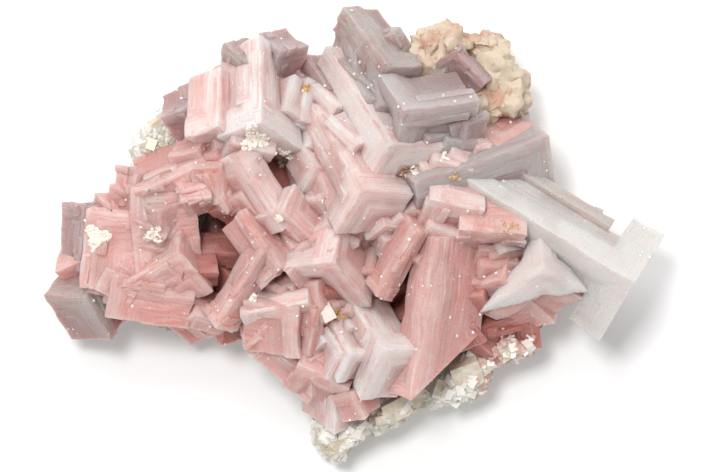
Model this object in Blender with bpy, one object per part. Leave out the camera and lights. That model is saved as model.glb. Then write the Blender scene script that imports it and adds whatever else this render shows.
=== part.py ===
"""Pink halite crystal cluster: hopper cubes of rock salt grown together on a crust of granular salt.

Metres, +Z up. The cluster lies on the flat cut underside of its salt crust, crystals up, seen from above as in a
specimen drawer. +X runs along its length and +Y across it. The origin is at the middle of its box, on the table.

Every crystal is a cube or block whose edges have grown faster than its faces. One corner, the lead corner, points
up and out. Three edges leave it: the ridge, and the edges to its left and right. The three faces between them are
hopper faces: raised rims along the edges, and a stepped pit behind the rims.
"""

import math
from collections import namedtuple

import bmesh
import bpy
from mathutils import Matrix, Vector, noise

MM = 0.001

# Driving dimensions, in millimetres
BASE_HEIGHT = 6.6  # usual height of the salt crust's top, where the crystals grow from it
CROWN_FLOOR = 5.0  # lowest point of any crystal
JOINT_GAP = 0.4  # gap kept between the crystals and the crusts
RIM_TAPER = 0.72  # a rim's width at its far end, as a share of its width at the lead corner
FAR_REACH = 4.0  # how far a hopper's pits would run on past its ends
CREAM_TOP = 21.0  # usual height of the cream crust's top
SALT_PITCH = 3.6  # spacing of the lumps on the salt crust
CREAM_PITCH = 2.3  # spacing of the lumps on the cream crust
SLIVER = 0.02  # edges shorter than this are closed up

# A crystal: its lead corner (x, y, z) in mm; the ridge's compass bearing from +X, its dip below level and the roll
# about it, in degrees; the lengths of the ridge, left and right edges; rim width and pit depth, all in mm; and how
# many steps its pits go down in.
Crystal = namedtuple("Crystal", "name x y z bearing dip roll ridge left right rim pit steps", defaults=(1,))

CRYSTALS = (
    # The stack of parallel crystals that crosses the middle from upper left to lower right
    Crystal("top_star", 5.7, 15.0, 35.5, 122, 38, 44, 25.0, 14.0, 13.0, 4.6, 3.2, 2),
    Crystal("centre_star", 1.2, 7.5, 37.0, 119, 39, 44, 21.5, 9.8, 10.5, 4.2, 3.0, 2),
    Crystal("lower_star", 4.5, -18.8, 31.0, 121, 42, 48, 14.8, 11.0, 7.5, 4.0, 2.6, 2),
    Crystal("small_star", -0.5, -19.5, 28.3, 121, 40, 46, 9.0, 6.5, 5.0, 1.5, 1.6),
    Crystal("smaller_star", -2.3, -19.2, 27.0, 121, 40, 46, 8.0, 6.5, 5.0, 1.4, 1.6),
    Crystal("peak_star", 5.5, 28.0, 30.0, 125, 38, 44, 16.0, 12.0, 7.5, 4.5, 1.4, 2),
    Crystal("peak_block", 6.2, 33.0, 25.0, 303, 22, 40, 7.5, 3.0, 9.0, 0, 0),
    Crystal("block_star", 8.0, 20.5, 37.5, 9, 20, 50, 13.8, 10.5, 8.5, 3.6, 2.6, 2),
    Crystal("crust_crystal", 16.5, 30.6, 26.0, 313, 5, 45, 7.5, 3.0, 4.5, 0, 0),
    Crystal("bow_star", -3.5, -4.3, 33.5, 310, 44, 47, 13.5, 8.5, 9.5, 3.6, 2.6, 2),
    # The right side
    Crystal("tee_beam", 46.3, -7.8, 30.5, 148, 3, 45, 32.5, 15.8, 13.9, 5.4, 3.4, 2),
    Crystal("triangle_star", 31.2, -5.3, 31.5, 94, 38, 45, 9.6, 15.4, 10.4, 3.9, 1.8),
    Crystal("triangle_foot", 31.0, -6.8, 28.0, 94, 38, 45, 8.0, 13.5, 9.6, 2.5, 1.6),
    Crystal("roof_block", 32.5, 16.5, 25.0, 199, -19, 32, 25.0, 14.0, 12.0, 4.4, 1.8, 2),
    Crystal("great_blade", 9.2, -27.2, 27.0, 81, -9, 52, 27.5, 5.8, 13.5, 3.6, 1.4, 2),
    Crystal("blade_shoulder", 17.5, 1.0, 31.0, 356, 8, 24, 11.0, 6.0, 12.0, 3.0, 1.0),
    Crystal("blade_shelf", 12.5, 6.2, 33.0, 347, 12, 40, 9.5, 8.0, 9.0, 3.0, 1.4),
    Crystal("splinter", 3.7, -10.2, 27.0, 60, -22, 45, 14.0, 4.8, 3.6, 1.6, 1.0),
    Crystal("low_block", 30.2, -12.6, 17.5, 196, -4, 40, 10.0, 8.0, 8.0, 2.6, 0.8),
    # The upper left towers
    Crystal("tower_star", -15.3, 18.6, 33.0, 91, 27, 34, 16.5, 9.0, 12.0, 4.6, 2.8, 2),
    Crystal("left_tower", -22.6, 18.0, 30.5, 88, 27, 38, 11.5, 7.0, 8.0, 3.0, 1.6, 2),
    Crystal("tower_back", -12.4, 30.4, 24.5, 256, 35, 45, 6.0, 6.0, 6.0, 0, 0),
    Crystal("tower_flank", -17.4, 28.6, 26.6, 143, 28, 42, 6.0, 5.5, 5.5, 1.6, 0.8),
    Crystal("dark_slab", -27.0, 21.6, 23.0, 200, 10, 30, 5.5, 6.0, 8.0, 0, 0),
    Crystal("tower_foot", -20.5, 15.5, 30.0, 345, 14, 36, 8.0, 7.0, 9.0, 2.6, 1.0),
    # The left mass
    Crystal("upper_band", -24.5, 12.0, 27.0, 203, 6, 34, 12.5, 6.5, 12.0, 3.0, 1.2),
    Crystal("brow_block", -36.0, 11.0, 22.5, 262, 4, 40, 14.0, 9.0, 6.0, 0, 0),
    Crystal("mass_star", -27.3, -2.6, 27.0, 232, 24, 30, 14.5, 11.0, 13.0, 4.4, 1.0),
    Crystal("mass_crown", -32.5, 4.0, 27.0, 270, 30, 42, 12.0, 8.0, 12.0, 3.8, 1.0),
    Crystal("left_lobe", -45.2, 5.0, 19.0, 268, 8, 40, 11.0, 9.0, 6.0, 0, 0),
    Crystal("corner_cube", -46.7, -10.5, 20.0, 300, 33, 45, 11.0, 9.5, 7.5, 0, 0),
    Crystal("lower_wedge", -30.2, -10.8, 18.0, 322, 22, 36, 10.0, 6.5, 8.0, 3.0, 1.0),
    Crystal("left_bump", -38.8, -7.0, 22.5, 322, 28, 40, 10.0, 10.0, 11.0, 3.0, 0.6),
    Crystal("left_saddle", -40.0, 1.0, 22.5, 350, 16, 42, 11.0, 10.0, 11.0, 3.4, 0.6),
    # The pink tangle left of the middle
    Crystal("tangle_star", -12.0, 3.8, 31.0, 316, 30, 36, 11.0, 9.0, 12.0, 3.8, 2.0, 2),
    Crystal("tangle_arm", -19.5, 13.5, 31.0, 301, 8, 38, 15.0, 5.0, 9.0, 3.2, 2.2, 2),
    Crystal("pink_shelf", -24.8, 10.0, 28.0, 300, 20, 28, 7.5, 6.0, 8.0, 2.0, 0.8),
    Crystal("prism", -22.8, -15.2, 24.5, 58, -20, 45, 16.0, 4.4, 5.0, 1.8, 0.8),
    Crystal("pocket_beam", -28.5, -2.8, 20.5, 0, 0, 45, 15.0, 5.0, 5.0, 2.2, 0.6),
    Crystal("pocket_floor", -23.0, 0.0, 12.5, 340, 30, 40, 8.0, 9.0, 9.0, 0, 0),
    Crystal("pocket_block", -28.6, 5.4, 27.0, 15, -4, 32, 5.0, 3.5, 6.0, 0, 0),
    Crystal("vee_left", -12.0, -5.6, 30.0, 126, 8, 40, 12.0, 6.0, 5.5, 2.2, 1.2),
    Crystal("vee_right", -11.0, -6.0, 29.5, 42, 4, 45, 10.0, 6.0, 6.0, 2.4, 1.2),
    Crystal("keel", -19.0, -13.2, 25.5, 12, -14, 40, 12.0, 7.0, 8.0, 2.8, 1.0),
    Crystal("skirt", -9.0, -21.0, 23.5, 331, 6, 40, 9.5, 9.0, 8.0, 2.6, 1.2),
    Crystal("rose_face", -6.5, -12.0, 27.0, 262, 26, 42, 10.0, 7.0, 8.0, 2.6, 1.0),
    Crystal("rose_wall", -14.5, -15.0, 25.0, 225, 30, 44, 8.0, 9.0, 9.0, 3.0, 0.8),
    Crystal("toe", -3.0, -26.5, 19.5, 268, 32, 44, 12.5, 9.0, 9.0, 3.6, 0.8),
    Crystal("toe_side", 2.0, -26.0, 20.0, 300, 30, 44, 8.0, 7.0, 7.0, 2.6, 0.8),
    # Deeper crystals, which close the hollows between those above
    Crystal("deep_top", -3.0, 15.5, 29.5, 118, 36, 44, 18.0, 20.0, 20.0, 0, 0),
    Crystal("deep_star", 3.0, 6.0, 31.0, 118, 36, 44, 18.0, 20.0, 20.0, 0, 0),
    Crystal("deep_middle", -3.5, -9.0, 25.0, 125, 38, 46, 18.0, 18.0, 18.0, 0, 0),
    Crystal("deep_tower", -17.0, 19.0, 28.0, 95, 30, 40, 14.0, 15.0, 15.0, 0, 0),
    Crystal("deep_pocket", -12.0, 3.0, 25.0, 105, 34, 44, 15.0, 10.0, 15.0, 0, 0),
    Crystal("deep_left", -34.0, -1.0, 24.5, 140, 34, 44, 15.0, 15.0, 8.0, 0, 0),
    Crystal("deep_lobe", -42.0, -3.0, 20.0, 200, 30, 44, 10.0, 12.0, 12.0, 0, 0),
    Crystal("deep_right", 20.0, 6.0, 27.0, 40, 36, 45, 17.0, 18.0, 18.0, 0, 0),
    Crystal("deep_blade", 15.0, -12.0, 24.5, 75, 34, 45, 16.0, 16.0, 16.0, 0, 0),
    Crystal("deep_corner", 25.0, -7.0, 25.0, 200, 34, 45, 14.0, 14.0, 14.0, 0, 0),
    Crystal("deep_toe", -7.0, -21.0, 21.5, 150, 34, 45, 14.0, 13.0, 13.0, 0, 0),
    Crystal("deep_back", 12.0, 22.0, 28.0, 60, 34, 45, 10.0, 15.0, 15.0, 0, 0),
    Crystal("deep_roof", 24.0, 15.0, 24.0, 30, 30, 45, 8.0, 14.0, 14.0, 0, 0),
    Crystal("deep_peak", 1.0, 27.0, 25.0, 100, 34, 45, 10.0, 12.0, 10.0, 0, 0),
    Crystal("deep_keel", -19.0, -8.0, 19.0, 250, 34, 45, 12.0, 12.0, 12.0, 0, 0),
)

# Crystals that end on a slope through the tips of their three edges, because only the corner grew
CORNERS = ("triangle_star",)

# Ends that broke off or grew against a neighbour: crystal, a point (x, y) on the cut, and the bearing it faces
ENDS = (("great_blade", 9.4, -27.4, 314),)

# A crust's side, from its sole up: share of its height, and how far it stands out past the outline, in mm
CRUST_SIDE = ((0, -0.6), (0.35, 0.3), (0.75, 0.6), (1.0, -0.4))

# Outlines seen from above, in mm, counterclockwise from the right
SALT_OUTLINE = (
    (33, -4), (31.5, 6), (30, 16), (26.5, 24), (22, 29), (12, 30.5), (2, 31), (-6, 29), (-14, 29.5), (-21, 26.5),
    (-26.3, 22.2), (-31.3, 20.6), (-34.8, 17.8), (-36.5, 12), (-40, 4), (-41, -4), (-36, -12), (-30, -14.5),
    (-23, -15), (-17.5, -18.5), (-12, -23.5), (-7.5, -28), (-5.8, -34.6), (-2.8, -37.2), (0.2, -34), (5.2, -31.8),
    (9.7, -28.3), (17.7, -26.9), (21.8, -24.6), (22.9, -21.7), (29.8, -19.2), (31.2, -12),
)
CREAM_OUTLINE = (
    (27.8, 20.5), (27.8, 25.2), (26.8, 27.2), (25.2, 29.9), (23.9, 32.8), (21.5, 33.2), (19, 32.6), (17.2, 34.4),
    (14.3, 34.3), (11.7, 33.2), (9.6, 30.6), (10, 25), (15, 20.5), (21, 18),
)
# Lumps of granular salt that rise beside the crystals: x, y, height above the crust and radius, in mm
SALT_LUMPS = (
    (-2.5, -34.8, 4.5, 3.5), (1.5, -31.5, 6.0, 4.0), (6.5, -29.6, 7.0, 4.0), (12.0, -27.4, 5.5, 4.0),
    (17.5, -25.6, 6.5, 4.5), (21.0, -22.5, 7.0, 4.5), (26.0, -20.3, 7.5, 4.5), (30.0, -18.0, 7.0, 4.0),
    (-33.5, 17.2, 8.0, 5.0), (-29.0, 20.5, 7.0, 4.5), (-24.0, 24.0, 6.0, 4.5), (-6.5, 29.0, 3.0, 4.0),
)


def edge_directions(crystal):
    """Unit vectors along the crystal's ridge, right edge and left edge."""
    bearing, dip, roll = (math.radians(a) for a in (crystal.bearing, crystal.dip, crystal.roll))
    ridge = Vector((math.cos(bearing) * math.cos(dip), math.sin(bearing) * math.cos(dip), -math.sin(dip)))
    side = Vector((-math.sin(bearing), math.cos(bearing), 0))
    up = ridge.cross(side)
    left = math.cos(roll) * side - math.sin(roll) * up
    right = -math.sin(roll) * side - math.cos(roll) * up
    return ridge, right, left


def placement(crystal):
    """Matrix that takes the crystal's own axes, ridge, right and left, to the cluster's."""
    turn = Matrix(edge_directions(crystal)).transposed().to_4x4()
    return Matrix.Translation((crystal.x, crystal.y, crystal.z)) @ turn


def step_in(bm, face, axis, near, far, down):
    """Insets a hopper face by near on its two sides at the lead corner and by far on the others, and lowers it."""
    bmesh.ops.inset_individual(bm, faces=[face], thickness=1e-4, depth=0)
    middle = face.calc_center_median()
    for vert in face.verts:
        beyond = [a for a in range(3) if a != axis and vert.co[a] > middle[a]]
        for a in range(3):
            if a == axis:
                vert.co[a] += down
            elif a in beyond:
                vert.co[a] -= far
            else:
                vert.co[a] += near * (RIM_TAPER if beyond else 1)


def cut_off(bm, point, outward):
    """Cuts a closed shape off flat, and drops what is beyond the plane."""
    cut = bmesh.ops.bisect_plane(
        bm, geom=bm.verts[:] + bm.edges[:] + bm.faces[:], plane_co=point, plane_no=outward, clear_outer=True
    )
    edges = [e for e in cut["geom_cut"] if isinstance(e, bmesh.types.BMEdge)]
    if edges:
        bmesh.ops.holes_fill(bm, edges=edges)


def hopper_cube(crystal):
    """A block with its lead corner at the origin, and rims and stepped pits on the three faces that meet there."""
    size = Vector((crystal.ridge, crystal.right, crystal.left))
    bm = bmesh.new()
    bmesh.ops.create_cube(bm, size=1, matrix=Matrix.Translation((0.5, 0.5, 0.5)))
    if not crystal.steps:
        bmesh.ops.scale(bm, verts=bm.verts, vec=size)
        return bm
    bmesh.ops.scale(bm, verts=bm.verts, vec=size + Vector((FAR_REACH,) * 3))
    for axis in range(3):
        face = min(bm.faces, key=lambda f: f.calc_center_median()[axis])
        across = min(size[a] for a in range(3) if a != axis)
        rim = min(crystal.rim, 0.45 * across)
        pit = min(crystal.pit, 0.6 * size[axis], 0.9 * RIM_TAPER * rim * crystal.steps)
        step_in(bm, face, axis, rim, FAR_REACH / 4, 0)
        ledge = 0.16 * (across - rim)
        for _ in range(crystal.steps):
            step_in(bm, face, axis, ledge / 4, ledge / 4, pit / crystal.steps)
            step_in(bm, face, axis, ledge, 0, 0)
    for axis in range(3):
        outward = Vector((0, 0, 0))
        outward[axis] = 1
        cut_off(bm, outward * size[axis], outward)
    if crystal.name in CORNERS:
        cut_off(bm, (size.x, 0, 0), Vector((1 / size.x, 1 / size.y, 1 / size.z)).normalized())
    return bm


def crystal_shape(crystal):
    """A crystal in its place in the cluster."""
    bm = hopper_cube(crystal)
    bmesh.ops.transform(bm, verts=bm.verts, matrix=placement(crystal))
    for name, x, y, facing in ENDS:
        if name == crystal.name:
            cut_off(bm, (x, y, 0), (math.cos(math.radians(facing)), math.sin(math.radians(facing)), 0))
    cut_off(bm, (0, 0, CROWN_FLOOR), (0, 0, -1))
    bmesh.ops.recalc_face_normals(bm, faces=bm.faces)
    return bm


def crust_shape(outline, floor, top, relief, pitch, lumps=()):
    """A flat-bottomed crust with bulging sides and a lumpy top, from its outline seen from above."""
    bm = bmesh.new()
    middle = sum((Vector((x, y, 0)) for x, y in outline), Vector()) / len(outline)
    rings = []
    for share, outward in CRUST_SIDE:
        out = [Vector((x, y, 0)) - middle for x, y in outline]
        height = Vector((0, 0, floor + share * (top - floor)))
        rings.append([bm.verts.new(middle + o + outward * o.normalized() + height) for o in out])
    for lower, upper in zip(rings, rings[1:]):
        for i in range(len(lower)):
            bm.faces.new((lower[i - 1], lower[i], upper[i], upper[i - 1]))
    bm.faces.new(reversed(rings[0]))
    bm.faces.new(rings[-1])
    slice_into_grid(bm, pitch)
    for vert in (v for v in bm.verts if v.co.z > floor + 0.1):
        swell = relief * noise.noise(vert.co / (1.7 * pitch))
        rise = (swell + lump_height(vert.co, lumps)) * (vert.co.z - floor) / (top - floor)
        vert.co += swell * ((vert.co - middle) * Vector((1, 1, 0))).normalized()
        vert.co.z += rise
    bmesh.ops.recalc_face_normals(bm, faces=bm.faces)
    return bm


def slice_into_grid(bm, pitch):
    """Cuts the faces of a shape, but not its flat sole, along a square grid seen from above."""
    for axis in range(2):
        low = min(v.co[axis] for v in bm.verts)
        high = max(v.co[axis] for v in bm.verts)
        for i in range(1, int((high - low) / pitch) + 1):
            point, across = Vector((0, 0, 0)), Vector((0, 0, 0))
            point[axis] = low + i * pitch
            across[axis] = 1
            everything = bm.verts[:] + bm.edges[:] + bm.faces[:]
            bmesh.ops.bisect_plane(bm, geom=everything, plane_co=point, plane_no=across)
    bmesh.ops.remove_doubles(bm, verts=bm.verts, dist=0.1 * pitch)
    floor = min(v.co.z for v in bm.verts)
    soles = [f for f in bm.faces if f.normal.z < -0.9 and f.calc_center_median().z < floor + 0.1]
    bmesh.ops.dissolve_faces(bm, faces=soles, use_verts=False)
    bmesh.ops.triangulate(bm, faces=[f for f in bm.faces if f.normal.z > -0.9])


def lump_height(place, lumps):
    """How far the lumps of salt raise the crust at a place."""
    rise = 0
    for x, y, height, radius in lumps:
        near = 1 - math.hypot(place.x - x, place.y - y) / (1.6 * radius)
        rise = max(rise, height * min(1, 1.8 * max(0, near)))
    return rise


def grown(bm, gap):
    """The same shape, larger by a gap on every side, to cut its place out of a neighbour."""
    wider = bm.copy()
    wider.normal_update()
    for vert, normal in [(v, v.normal.copy()) for v in wider.verts]:
        vert.co += normal * gap * 1.3
    return wider


def add_object(name, bm, material, collection):
    """Finishes a shape modelled in millimetres as an object in metres."""
    bmesh.ops.scale(bm, verts=bm.verts, vec=(MM, MM, MM))
    mesh = bpy.data.meshes.new(name)
    bm.to_mesh(mesh)
    bm.free()
    mesh.materials.append(material)
    obj = bpy.data.objects.new(name, mesh)
    collection.objects.link(obj)
    return obj


def boolean(obj, operation, others, solver):
    """Joins a collection's solids to an object, or cuts them from it."""
    modifier = obj.modifiers.new(operation.lower(), "BOOLEAN")
    modifier.operation = operation
    modifier.operand_type = "COLLECTION"
    modifier.collection = others
    modifier.solver = solver


def helper_collection(name, parent):
    collection = bpy.data.collections.new(name)
    collection.hide_render = True
    parent.children.link(collection)
    return collection


def as_helper(obj):
    obj.hide_render = True
    obj.display_type = "WIRE"
    return obj


def outer_shell(bm):
    """Fills pockets that are sealed inside a solid, by keeping only the shell with the most faces."""
    shells = []
    unseen = set(bm.faces)
    while unseen:
        shell = [unseen.pop()]
        for face in shell:
            for edge in face.edges:
                for other in edge.link_faces:
                    if other in unseen:
                        unseen.remove(other)
                        shell.append(other)
        shells.append(shell)
    shells.sort(key=len)
    bmesh.ops.delete(bm, geom=[f for shell in shells[:-1] for f in shell], context="FACES")


def join_flat_faces(bm):
    """Clears the slivers that a join leaves, and makes each flat face one face again."""
    bmesh.ops.dissolve_degenerate(bm, dist=SLIVER, edges=bm.edges)
    bmesh.ops.dissolve_limit(bm, angle_limit=math.radians(0.5), verts=bm.verts, edges=bm.edges)


def finish(name, colour, roughness):
    """A material of one colour and roughness."""
    material = bpy.data.materials.new(name)
    material.use_nodes = True
    shader = material.node_tree.nodes["Principled BSDF"]
    shader.inputs["Base Color"].default_value = (*colour, 1)
    shader.inputs["Roughness"].default_value = roughness
    shader.inputs["Metallic"].default_value = 0
    return material


def centre_on_table(objects):
    """Moves the meshes so that the middle of their common box, seen from above, is at the origin."""
    places = [v.co for obj in objects for v in obj.data.vertices]
    middle = [(min(p[a] for p in places) + max(p[a] for p in places)) / 2 for a in range(2)]
    for obj in objects:
        obj.data.transform(Matrix.Translation((-middle[0], -middle[1], 0)))


def main():
    for obj in list(bpy.data.objects):
        bpy.data.objects.remove(obj, do_unlink=True)
    cluster = bpy.data.collections.new("halite_crystal_cluster")
    bpy.context.scene.collection.children.link(cluster)
    grown_together = helper_collection("grown_together", bpy.context.scene.collection)
    crust_room = helper_collection("crust_room", bpy.context.scene.collection)

    rose = finish("rose_halite", (0.78, 0.5, 0.48), 0.3)
    salt = finish("granular_salt", (0.66, 0.65, 0.6), 0.6)
    cream = finish("cream_crust", (0.78, 0.62, 0.47), 0.8)

    salt_crust = crust_shape(SALT_OUTLINE, 0, BASE_HEIGHT, 1.2, SALT_PITCH, SALT_LUMPS)
    cream_crust = crust_shape(CREAM_OUTLINE, BASE_HEIGHT + 2, CREAM_TOP, 2.5, CREAM_PITCH)
    crusts = (("salt_crust_matrix", salt_crust, salt), ("cream_evaporite_crust", cream_crust, cream))
    for name, bm, material in crusts:
        as_helper(add_object(name + "_room", grown(bm, JOINT_GAP), material, crust_room))
        add_object(name, bm, material, cluster)

    first = as_helper(add_object(CRYSTALS[0].name, crystal_shape(CRYSTALS[0]), rose, grown_together))
    others = helper_collection("others", grown_together)
    for crystal in CRYSTALS[1:]:
        as_helper(add_object(crystal.name, crystal_shape(crystal), rose, others))
    boolean(first, "UNION", others, "EXACT")
    boolean(first, "DIFFERENCE", crust_room, "MANIFOLD")
    joined = first.evaluated_get(bpy.context.evaluated_depsgraph_get())
    bm = bmesh.new()
    bm.from_mesh(joined.to_mesh())
    bmesh.ops.scale(bm, verts=bm.verts, vec=(1 / MM,) * 3)
    outer_shell(bm)
    join_flat_faces(bm)
    add_object("pink_halite_crystals", bm, rose, cluster)
    centre_on_table(cluster.objects)


main()
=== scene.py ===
"""Pink halite crystal cluster, dressed for its picture.

Pieces are shaped in millimetres and finished in metres. The cluster lies crystals up on its flat-cut
crust, with +X to the right of the picture and +Y to its top.
"""

import math
import random
from collections import namedtuple

import bmesh
import bpy
from mathutils import Matrix, Vector, noise
from mathutils.bvhtree import BVHTree


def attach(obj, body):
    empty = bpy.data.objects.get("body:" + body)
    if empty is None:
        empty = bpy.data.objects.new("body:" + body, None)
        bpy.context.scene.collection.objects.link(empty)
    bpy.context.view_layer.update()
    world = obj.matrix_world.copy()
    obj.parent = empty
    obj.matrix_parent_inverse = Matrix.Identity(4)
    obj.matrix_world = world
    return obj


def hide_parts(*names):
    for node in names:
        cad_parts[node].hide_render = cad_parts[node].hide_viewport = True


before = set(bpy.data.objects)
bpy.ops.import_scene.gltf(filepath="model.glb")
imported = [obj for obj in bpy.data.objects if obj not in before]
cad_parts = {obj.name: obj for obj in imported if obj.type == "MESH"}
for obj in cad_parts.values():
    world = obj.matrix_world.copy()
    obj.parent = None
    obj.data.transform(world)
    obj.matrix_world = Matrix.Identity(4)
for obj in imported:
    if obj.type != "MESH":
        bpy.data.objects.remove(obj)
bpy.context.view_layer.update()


# Salt crust. The layer of granular salt that the crystals grew from: small cubes of rock salt, mostly
# under 2 mm, packed together with a little clay. It is cut flat underneath, and its broken edge shows
# round the cluster.

CRUST_HEIGHT = 6.6  # mm, from the flat sole to the usual top
CRUST_PITCH, CRUST_LAYER = 1.3, 1.2  # mm, width and height of the slices that let the surface be rough
CRUST_SIDE = ((0, -0.6), (0.35, 0.3), (0.75, 0.6), (1.0, -0.4))  # share of height, mm outside the outline
CRUST_OUTLINE = (
    (33, -4), (31.5, 6), (30, 16), (26.5, 24), (22, 29), (12, 30.5), (2, 31), (-6, 29), (-14, 29.5),
    (-21, 26.5), (-26.3, 22.2), (-31.3, 20.6), (-34.8, 17.8), (-36.5, 12), (-40, 4), (-41, -4),
    (-36, -12), (-30, -14.5), (-23, -14), (-16.5, -15.5), (-10.5, -20.5), (-7, -26.5),
    (-5.8, -34.6), (-2.8, -37.2), (0.2, -34), (5.2, -31.8), (9.7, -28.3), (17.7, -26.9),
    (21.8, -24.6), (22.9, -21.7), (29.8, -19.2), (31.2, -12),
)
CRUST_LUMPS = (  # x, y, height above the crust and radius, in mm
    (-2.5, -34.8, 4.5, 3.5), (1.5, -31.5, 6.0, 4.0), (6.5, -29.6, 7.0, 4.0),
    (12.0, -27.4, 5.5, 4.0), (17.5, -25.6, 6.5, 4.5), (21.0, -22.5, 7.0, 4.5),
    (26.0, -20.3, 7.5, 4.5), (30.0, -18.0, 7.0, 4.0), (-33.5, 17.2, 8.0, 5.0),
    (-29.0, 20.5, 7.0, 4.5), (-24.0, 24.0, 6.0, 4.5), (-6.5, 29.0, 3.0, 4.0),
)
# Larger cubes in the broken edge: x, y, z of the middle and size in mm, turns about z and x in degrees
CRUST_BLOCKS = (
    (7.0, -28.6, 12.2, 4.6, 28, 24), (10.2, -26.6, 11.6, 3.6, 55, 30),
    (18.6, -22.4, 13.2, 5.0, 20, 34), (21.6, -21.6, 12.6, 3.4, 40, 18),
    (2.6, -30.6, 11.4, 3.0, 10, 40), (14.2, -25.4, 11.8, 2.8, 70, 25),
    (-2.2, -34.6, 10.2, 3.6, 45, 35), (-0.6, -33.0, 10.6, 2.6, 12, 20),
    (25.6, -19.4, 13.0, 3.0, 30, 15), (29.0, -18.4, 12.6, 2.6, 62, 28),
    (-32.8, 18.6, 13.6, 3.0, 35, 25), (-29.6, 20.4, 12.8, 2.6, 15, 40),
)
CRUST_BUMPS = ((6.1, 1.2), (2.4, 0.8), (1.1, 0.35))  # mm, size and depth
LUMP_SPREAD, LUMP_STEEPNESS = 1.6, 1.8  # how far a lump reaches, in radii, and how steeply it rises
SOLE_MARGIN = 0.1  # mm, below which a surface stays flat
CRUST_GRAINS = 3600
GRAIN_SIZES = (0.6, 0.8, 0.8, 1.1, 1.5)  # mm
GRAIN_STRETCH = (0.7, 1.3)  # the sides of a grain, as shares of its size
GRAIN_SUNK = 0.1  # how far a grain's middle lies below the surface, as a share of its size
HANDFUL = 100  # grains are made this many at a time, which is quicker
FULL_TURN = 6.3  # radians
EDGE_REACH = 8  # mm, how far in from the outline the broken edge can be seen
ROSY_FROM, ROSY_SHARE = 20, 0.55  # right of this x, in mm, this share of the grains is rosy
CLAY_PATCH, CLAY_MIX = 5, 0.25  # mm, size of the patches of clay, and how far they run into each other
CLEAN_BELOW, BEIGE_ABOVE = 0.02, 0.28  # how much clay makes a grain grey, and how much makes it beige
CRUST_GREY, CRUST_BEIGE, CRUST_WHITE, CRUST_ROSE = "#C6C6B8", "#D6C6AF", "#F0ECE4", "#CFA597"
MIDDLE = Vector((0.396, -0.163, 0))  # mm, from the measured layout to the middle of the cluster's box
MM = 0.001


def linear(hex_colour):
    """An sRGB hex colour as linear red, green, blue and alpha."""
    parts = [int(hex_colour[i:i + 2], 16) / 255 for i in (1, 3, 5)]
    return (*(p / 12.92 if p <= 0.04045 else ((p + 0.055) / 1.055) ** 2.4 for p in parts), 1)


def add(tree, kind, inputs=None, **settings):
    """Adds a node with its settings, and with numbers, colours or links for its inputs.

    Inputs are named or numbered. A Map Range takes value, from min, from max, to min and to max as 0 to
    4, and a Mix of colours takes the factor as 0 and its two colours as 6 and 7.
    """
    made = tree.nodes.new("ShaderNode" + kind)
    for name, value in settings.items():
        setattr(made, name, value)
    for key, value in (inputs or {}).items():
        if isinstance(value, bpy.types.NodeSocket):
            tree.links.new(value, made.inputs[key])
        else:
            made.inputs[key].default_value = value
    return made


def crust_block(outline, floor, top, pitch, lumps):
    """A block with a flat sole, bulging sides and lumps on top, sliced finely."""
    bm = bmesh.new()
    middle = sum((Vector((x, y, 0)) for x, y in outline), Vector()) / len(outline)
    roof = bm.faces.new([bm.verts.new((x, y, floor)) for x, y in outline])
    edge = [Vector((x, y, 0)) for x, y in outline]
    for share, outward in CRUST_SIDE:
        if share:
            roof = bmesh.ops.extrude_discrete_faces(bm, faces=[roof])["faces"][0]
        for vert, place in zip(roof.verts, edge):
            vert.co = place + outward * (place - middle).normalized()
            vert.co.z = floor + share * (top - floor)
    bmesh.ops.holes_fill(bm, edges=[e for e in bm.edges if e.is_boundary])
    low = [min(v.co[axis] for v in bm.verts) for axis in range(3)]
    high = [max(v.co[axis] for v in bm.verts) for axis in range(3)]
    for axis, step in ((0, pitch), (1, pitch), (2, CRUST_LAYER)):
        for i in range(1, int((high[axis] - low[axis]) / step) + 1):
            point, across = Vector((0, 0, 0)), Vector((0, 0, 0))
            point[axis] = low[axis] + i * step
            across[axis] = 1
            everything = bm.verts[:] + bm.edges[:] + bm.faces[:]
            bmesh.ops.bisect_plane(bm, geom=everything, plane_co=point, plane_no=across)
    for vert in (v for v in bm.verts if v.co.z > floor + SOLE_MARGIN):
        rise = 0
        for x, y, height, radius in lumps:
            near = 1 - math.hypot(vert.co.x - x, vert.co.y - y) / (LUMP_SPREAD * radius)
            rise = max(rise, height * min(1, LUMP_STEEPNESS * max(0, near)))
        vert.co.z += rise * (vert.co.z - floor) / (top - floor)
    bmesh.ops.triangulate(bm, faces=bm.faces)
    bmesh.ops.recalc_face_normals(bm, faces=bm.faces)
    return bm


def roughen(bm, floor, scales):
    """Pushes a surface in and out by noise of several sizes, but not its flat sole."""
    bm.normal_update()
    for vert, normal in [(v, v.normal.copy()) for v in bm.verts if v.co.z > floor + SOLE_MARGIN]:
        vert.co += normal * sum(depth * noise.noise(vert.co / size) for size, depth in scales)


def near_edge(place, outline, reach):
    """Whether a place is within reach of the outline, so that it can be seen."""
    for (ax, ay), (bx, by) in zip(outline, outline[1:] + outline[:1]):
        along = Vector((bx - ax, by - ay))
        share = ((place.x - ax) * along.x + (place.y - ay) * along.y) / along.length_squared
        share = min(1, max(0, share))
        if math.hypot(place.x - ax - share * along.x, place.y - ay - share * along.y) < reach:
            return True
    return False


def spread(faces, count, rng):
    """Places and normals spread at random over faces, as many on each as its area asks for."""
    faces = sorted(faces, key=lambda f: [round(c, 2) for c in f.calc_center_median()])
    areas = [f.calc_area() for f in faces]
    for face in rng.choices(faces, weights=areas, k=count):
        a, b, c = (v.co for v in face.verts[:3])
        s, t = rng.random(), rng.random()
        if s + t > 1:
            s, t = 1 - s, 1 - t
        yield a + s * (b - a) + t * (c - a), face.normal


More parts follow.
